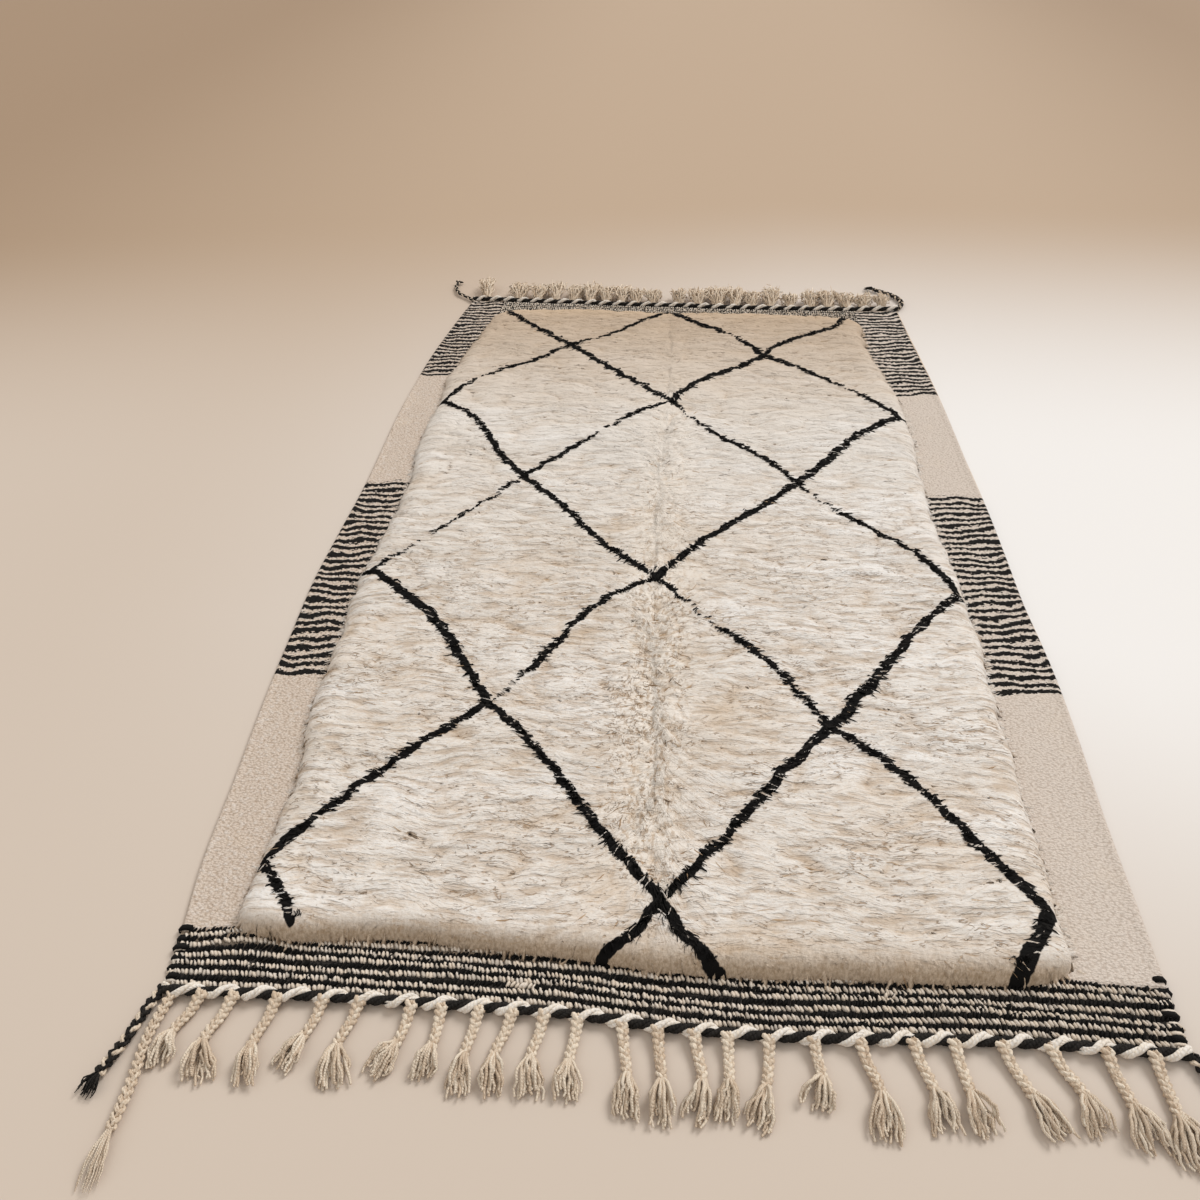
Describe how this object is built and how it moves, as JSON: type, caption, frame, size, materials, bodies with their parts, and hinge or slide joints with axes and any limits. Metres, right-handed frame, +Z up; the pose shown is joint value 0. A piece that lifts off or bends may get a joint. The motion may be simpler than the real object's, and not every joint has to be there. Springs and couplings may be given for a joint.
{
  "type": "pile rug with flat-woven kilim borders",
  "caption": "Hand-knotted ivory wool pile rug with black lozenge lines, flat-woven striped kilim bands, twined end cords, plaited fringe and corner plaits, lying flat.",
  "frame": {"origin": "a point on the underside near the middle of the woven rug, on the floor", "axes": "+Z up from the floor, +Y along the rug's length from its plaited near end to its loose far fringe, +X across it to the right as seen from the near end"},
  "size_m": [1.2322, 2.3547, 0.0334],
  "materials": {
    "rug_body": "ivory wool pile and flat weave",
    "near_cord": "black and ivory wool yarn",
    "far_cord": "black and ivory wool yarn",
    "near_fringe": "natural wool yarn",
    "far_fringe": "natural wool yarn, loose",
    "near_left_plait": "black and ivory wool yarn",
    "near_left_tail": "natural wool yarn",
    "near_right_plait": "black and ivory wool yarn",
    "far_left_tail": "black and natural wool yarn",
    "far_right_plait": "dark wool yarn"
  },
  "bodies": {
    "root": {"rug_body": "rug_body", "near_cord": "near_cord", "far_cord": "far_cord", "near_fringe": "near_fringe", "far_fringe": "far_fringe", "near_left_plait": "near_left_plait", "near_left_tail": "near_left_tail", "near_right_plait": "near_right_plait", "far_left_tail": "far_left_tail", "far_right_plait": "far_right_plait"}
  },
  "joints": []
}
